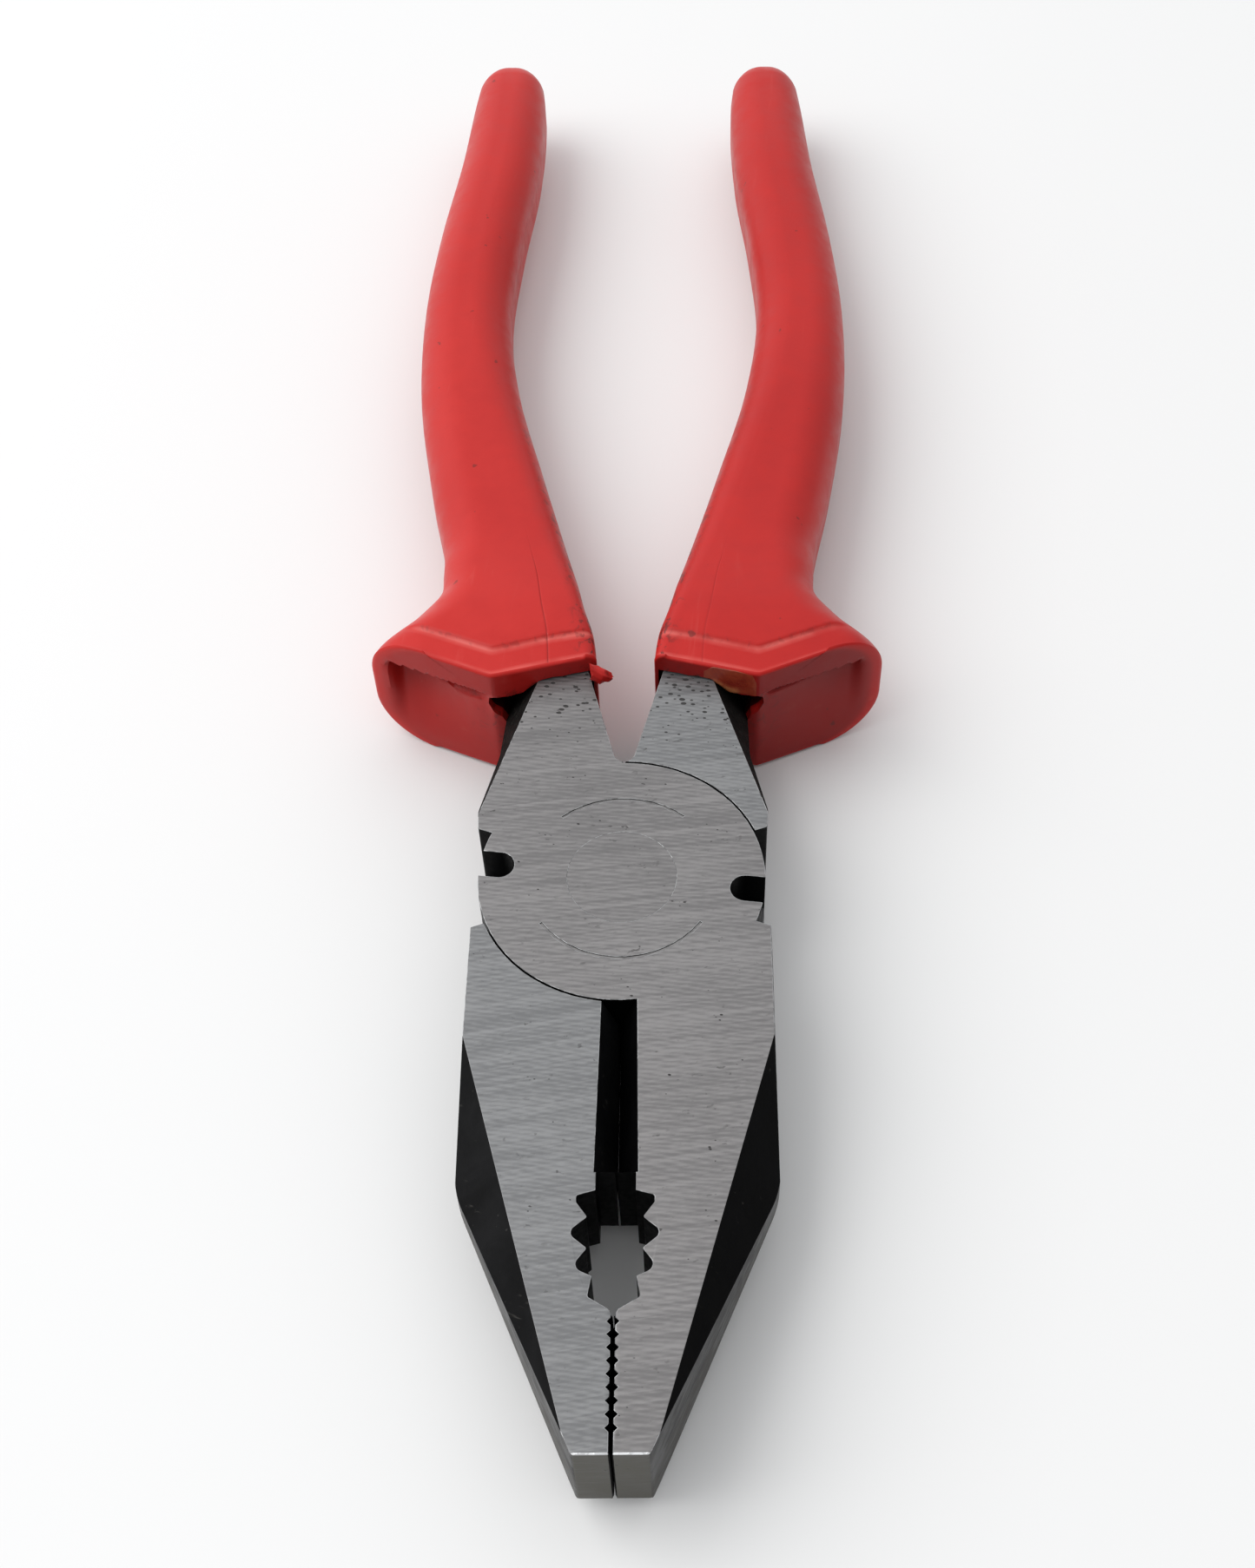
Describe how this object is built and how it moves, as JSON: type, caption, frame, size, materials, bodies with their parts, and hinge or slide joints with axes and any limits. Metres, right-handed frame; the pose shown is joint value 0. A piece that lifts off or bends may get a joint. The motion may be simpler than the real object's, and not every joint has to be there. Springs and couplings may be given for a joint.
{
  "type": "lineman pliers",
  "caption": "Combination pliers with side cutters, toothed pipe grip, serrated flat nose and bonded guard sleeves, opening on one flush rivet.",
  "frame": {"origin": "on the pivot axis, in the plane of the joint's under-face", "axes": "+Y to the handle ends, -Y to the nose, +Z out of the joint's upper face, +X to the right-hand handle"},
  "size_m": [0.0576, 0.2066, 0.0171],
  "materials": {
    "steel": "ground faces, black oxide flanks",
    "rivet_steel": "ground flush",
    "sleeve": "semi-gloss moulded",
    "adhesive": "amber, cured"
  },
  "bodies": {
    "upper_half": {"jaw_half_upper": "steel", "rivet": "rivet_steel", "left_sleeve": "sleeve", "left_adhesive": "adhesive"},
    "lower_half": {"jaw_half_lower": "steel", "right_sleeve": "sleeve", "right_adhesive": "adhesive"}
  },
  "joints": [
    {"name": "pivot", "type": "hinge", "parent": "upper_half", "child": "lower_half", "pos_m": [0, 0, 0.00575], "axis": [0, 0, -1], "range_deg": [0, 42]}
  ]
}
